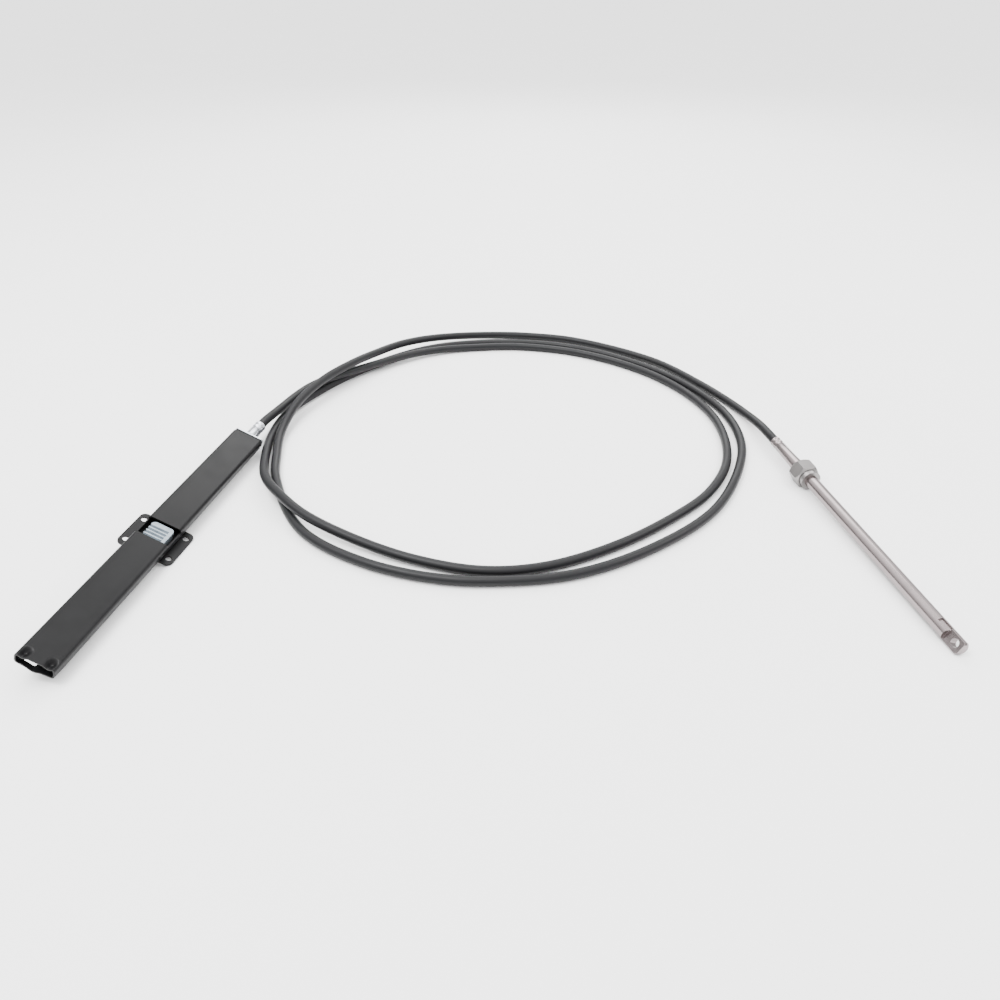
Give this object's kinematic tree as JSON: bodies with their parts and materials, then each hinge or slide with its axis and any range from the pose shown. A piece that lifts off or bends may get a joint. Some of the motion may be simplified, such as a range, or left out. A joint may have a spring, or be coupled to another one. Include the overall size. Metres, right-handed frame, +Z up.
{
  "type": "boat steering cable",
  "caption": "Boat steering cable: flat rack housing with toothed bar and bracket, a long grey conduit in loose turns, and a steel output ram with coupling nut.",
  "frame": {"origin": "centre of the fittings' bounding box, on the floor they lie on", "axes": "+X across, from the rack housing to the output ram; +Y away from the ram's tip, towards the cable's turns; +Z up"},
  "size_m": [0.9066, 0.801, 0.0373],
  "materials": {
    "black_paint": "satin black paint",
    "cast_zinc": "dull grey metal with lightly rubbed tooth crests",
    "zinc_plate": "bright zinc plate",
    "conduit_jacket": "smooth satin plastic jacket",
    "plated_nut": "satin plating",
    "stainless": "polished stainless steel"
  },
  "bodies": {
    "cable_body": {"housing_tube": "black_paint", "mounting_bracket": "black_paint", "end_plug": "zinc_plate", "cable_ferrule": "zinc_plate", "cable_conduit": "conduit_jacket", "output_sleeve": "stainless", "guide_tube": "stainless"},
    "rack": {"rack_bar": "cast_zinc"},
    "nut": {"coupling_nut": "plated_nut"},
    "ram": {"output_ram": "stainless"}
  },
  "joints": [
    {"name": "rack_slide", "type": "slide", "parent": "cable_body", "child": "rack", "axis": [0.2125, 0.9772, 0], "range_m": [0, 0.185]},
    {"name": "ram_slide", "type": "slide", "parent": "cable_body", "child": "ram", "axis": [0.1933, -0.9809, -0.0214], "range_m": [0, 0.185]},
    {"name": "nut_spin", "type": "hinge", "parent": "cable_body", "child": "nut", "pos_m": [0.38695, 0.11366, 0.01448], "axis": [0.1933, -0.9809, -0.0214], "continuous": true}
  ],
  "couplings": [
    {"joint": "ram_slide", "follows": "rack_slide", "ratio": 1}
  ]
}
